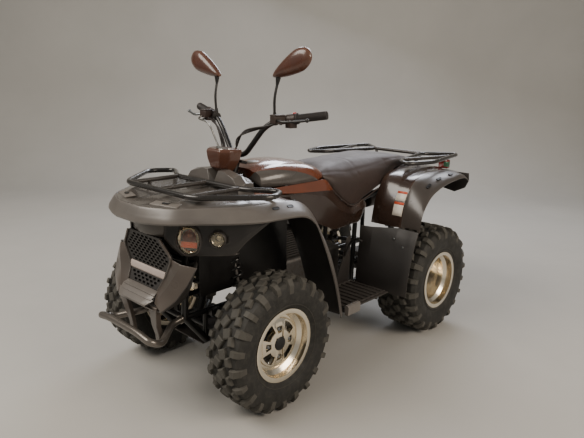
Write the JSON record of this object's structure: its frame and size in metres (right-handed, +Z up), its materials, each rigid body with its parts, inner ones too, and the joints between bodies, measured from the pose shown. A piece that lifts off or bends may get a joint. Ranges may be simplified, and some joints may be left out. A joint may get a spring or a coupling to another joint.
{
  "type": "quad bike",
  "caption": "Four-wheeled utility quad bike with tube racks, straddle seat, steered front wheels on knuckles and knobbly tyres.",
  "frame": {"origin": "on the ground midway between the axles, at the vehicle's middle", "axes": "+X to the rider's left, +Y to the rear, +Z up; the front faces -Y"},
  "size_m": [0.97, 1.9101, 1.3365],
  "materials": {
    "frame_paint": "satin",
    "skid_plate_metal": "satin",
    "engine_metal": "cast",
    "exhaust_steel": "heat-dulled",
    "arm_paint": "satin",
    "shock_paint": "gloss",
    "cast_alloy": "cast",
    "bumper_paint": "satin",
    "dark_plastic": "textured",
    "gloss_plastic_dark": "gloss",
    "grey_plastic": "satin",
    "brown_gloss": "gloss",
    "lamp_glass": "clear",
    "red_lamp": "clear",
    "rack_paint": "powder-coated",
    "seat_vinyl": "matte vinyl",
    "black_steel": "satin",
    "grip_rubber": "ribbed",
    "control_plastic": "matte",
    "mirror_shell": "gloss",
    "rod_steel": "zinc plated",
    "tyre_rubber": "matte",
    "rim_alloy": "polished",
    "shaft_steel": "satin"
  },
  "bodies": {
    "chassis": {"frame": "frame_paint", "skid_plate": "skid_plate_metal", "engine": "engine_metal", "final_drive": "engine_metal", "exhaust": "exhaust_steel", "front_wishbones": "arm_paint", "rear_wishbones": "arm_paint", "shock_absorbers": "shock_paint", "rear_uprights": "cast_alloy", "front_bumper": "bumper_paint", "grille_surround": "dark_plastic", "grille": "dark_plastic", "lamp_panel": "dark_plastic", "headlights": "lamp_glass", "side_lamps": "lamp_glass", "nose_cover": "grey_plastic", "front_fender": "gloss_plastic_dark", "front_flare": "grey_plastic", "front_rack": "rack_paint", "tank_cover": "brown_gloss", "side_panels": "brown_gloss", "seat": "seat_vinyl", "rear_fender": "gloss_plastic_dark", "rear_flares": "grey_plastic", "mudguards": "dark_plastic", "footwells": "dark_plastic", "rear_rack": "rack_paint", "tail_lights": "red_lamp"},
    "steering": {"steering_stem": "black_steel", "handlebar": "black_steel", "grips": "grip_rubber", "hand_controls": "control_plastic", "mirrors": "mirror_shell", "instrument_pod": "control_plastic"},
    "left_knuckle": {"left_knuckle": "cast_alloy"},
    "right_knuckle": {"right_knuckle": "cast_alloy"},
    "left_tie_rod": {"left_tie_rod": "rod_steel"},
    "right_tie_rod": {"right_tie_rod": "rod_steel"},
    "front_left_wheel": {"front_left_tyre": "tyre_rubber", "front_left_rim": "rim_alloy"},
    "front_right_wheel": {"front_right_tyre": "tyre_rubber", "front_right_rim": "rim_alloy"},
    "rear_left_wheel": {"rear_left_tyre": "tyre_rubber", "rear_left_rim": "rim_alloy", "left_half_shaft": "shaft_steel"},
    "rear_right_wheel": {"rear_right_tyre": "tyre_rubber", "rear_right_rim": "rim_alloy", "right_half_shaft": "shaft_steel"}
  },
  "joints": [
    {"name": "steering", "type": "hinge", "parent": "chassis", "child": "steering", "pos_m": [0, -0.599, 0.283], "axis": [0, 0.3256, 0.9455], "range_deg": [-35, 35]},
    {"name": "left_knuckle_steer", "type": "hinge", "parent": "chassis", "child": "left_knuckle", "pos_m": [0.29, -0.528, 0.2625], "axis": [0, 0, 1], "range_deg": [-35, 35]},
    {"name": "right_knuckle_steer", "type": "hinge", "parent": "chassis", "child": "right_knuckle", "pos_m": [-0.29, -0.528, 0.2625], "axis": [0, 0, 1], "range_deg": [-35, 35]},
    {"name": "left_tie_rod_pivot", "type": "hinge", "parent": "steering", "child": "left_tie_rod", "pos_m": [0.016, -0.53754, 0.26184], "axis": [0, 0.3256, 0.9455], "range_deg": [-35, 35]},
    {"name": "right_tie_rod_pivot", "type": "hinge", "parent": "steering", "child": "right_tie_rod", "pos_m": [-0.016, -0.53754, 0.26184], "axis": [0, 0.3256, 0.9455], "range_deg": [-35, 35]},
    {"name": "front_left_wheel_spin", "type": "hinge", "parent": "left_knuckle", "child": "front_left_wheel", "pos_m": [0.355, -0.528, 0.2625], "axis": [1, 0, 0], "continuous": true},
    {"name": "front_right_wheel_spin", "type": "hinge", "parent": "right_knuckle", "child": "front_right_wheel", "pos_m": [-0.355, -0.528, 0.2625], "axis": [1, 0, 0], "continuous": true},
    {"name": "rear_left_wheel_spin", "type": "hinge", "parent": "chassis", "child": "rear_left_wheel", "pos_m": [0.369, 0.528, 0.2675], "axis": [1, 0, 0], "continuous": true},
    {"name": "rear_right_wheel_spin", "type": "hinge", "parent": "chassis", "child": "rear_right_wheel", "pos_m": [-0.369, 0.528, 0.2675], "axis": [1, 0, 0], "continuous": true}
  ],
  "couplings": [
    {"joint": "left_knuckle_steer", "follows": "steering", "ratio": 1},
    {"joint": "right_knuckle_steer", "follows": "steering", "ratio": 1},
    {"joint": "left_tie_rod_pivot", "follows": "steering", "ratio": -1},
    {"joint": "right_tie_rod_pivot", "follows": "steering", "ratio": -1}
  ]
}
